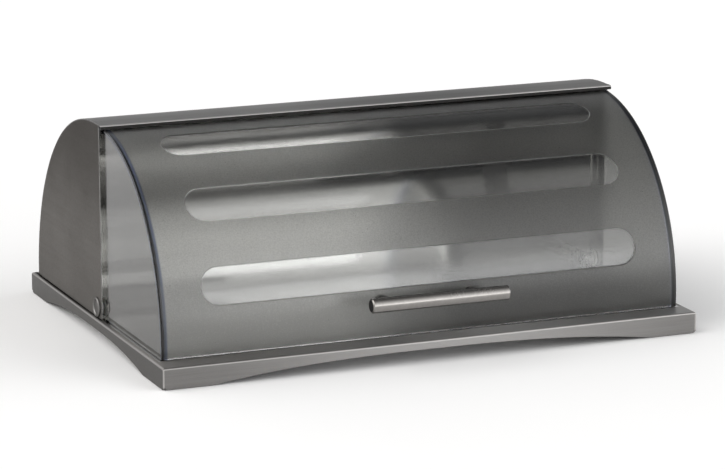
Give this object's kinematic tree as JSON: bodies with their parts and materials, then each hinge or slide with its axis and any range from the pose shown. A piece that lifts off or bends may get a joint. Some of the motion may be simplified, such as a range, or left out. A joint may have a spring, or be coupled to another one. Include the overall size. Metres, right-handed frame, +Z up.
{
  "type": "roll-top bread bin",
  "caption": "Household bread bin: a curved steel back shell on a pressed steel tray, with a smoky see-through lid that rolls up under the roof.",
  "frame": {"origin": "on the table, at the middle of the bin's overall box, with the handle counted in its depth", "axes": "+X to the viewer's right along the bin's width, -Y to the front where the handle is, +Z up"},
  "size_m": [0.39, 0.3004, 0.152],
  "materials": {
    "steel_body": "satin",
    "steel_tray": "satin",
    "handle_steel": "satin",
    "fittings": "bright",
    "smoked_acrylic": "frosted outside with clear windows",
    "foot_rubber": "matt",
    "plug_plastic": "matt",
    "washer_plastic": "matt"
  },
  "bodies": {
    "bin": {"base_tray": "steel_tray", "foot_front_left": "foot_rubber", "foot_front_right": "foot_rubber", "foot_rear_left": "foot_rubber", "foot_rear_right": "foot_rubber", "back_shell": "steel_body", "side_panel_left": "steel_body", "side_panel_right": "steel_body", "fixing_angle_left": "fittings", "fixing_angle_right": "fittings", "fixing_angle_rear": "fittings", "fixing_screws": "fittings", "fixing_nuts": "fittings", "pivot_bolt_left": "fittings", "pivot_bolt_right": "fittings", "pivot_spacer_left": "washer_plastic", "pivot_spacer_right": "washer_plastic", "pivot_washer_left": "washer_plastic", "pivot_washer_right": "washer_plastic", "pivot_nut_left": "fittings", "pivot_nut_right": "fittings"},
    "lid": {"lid": "smoked_acrylic", "handle_bar": "handle_steel", "handle_plug_left": "plug_plastic", "handle_plug_right": "plug_plastic", "handle_post_left": "handle_steel", "handle_post_right": "handle_steel", "handle_screws": "fittings", "handle_washers": "washer_plastic"}
  },
  "joints": [
    {"name": "lid_hinge", "type": "hinge", "parent": "bin", "child": "lid", "pos_m": [0, 0.00522, 0.0225], "axis": [-1, 0, 0], "range_deg": [0, 72]}
  ]
}
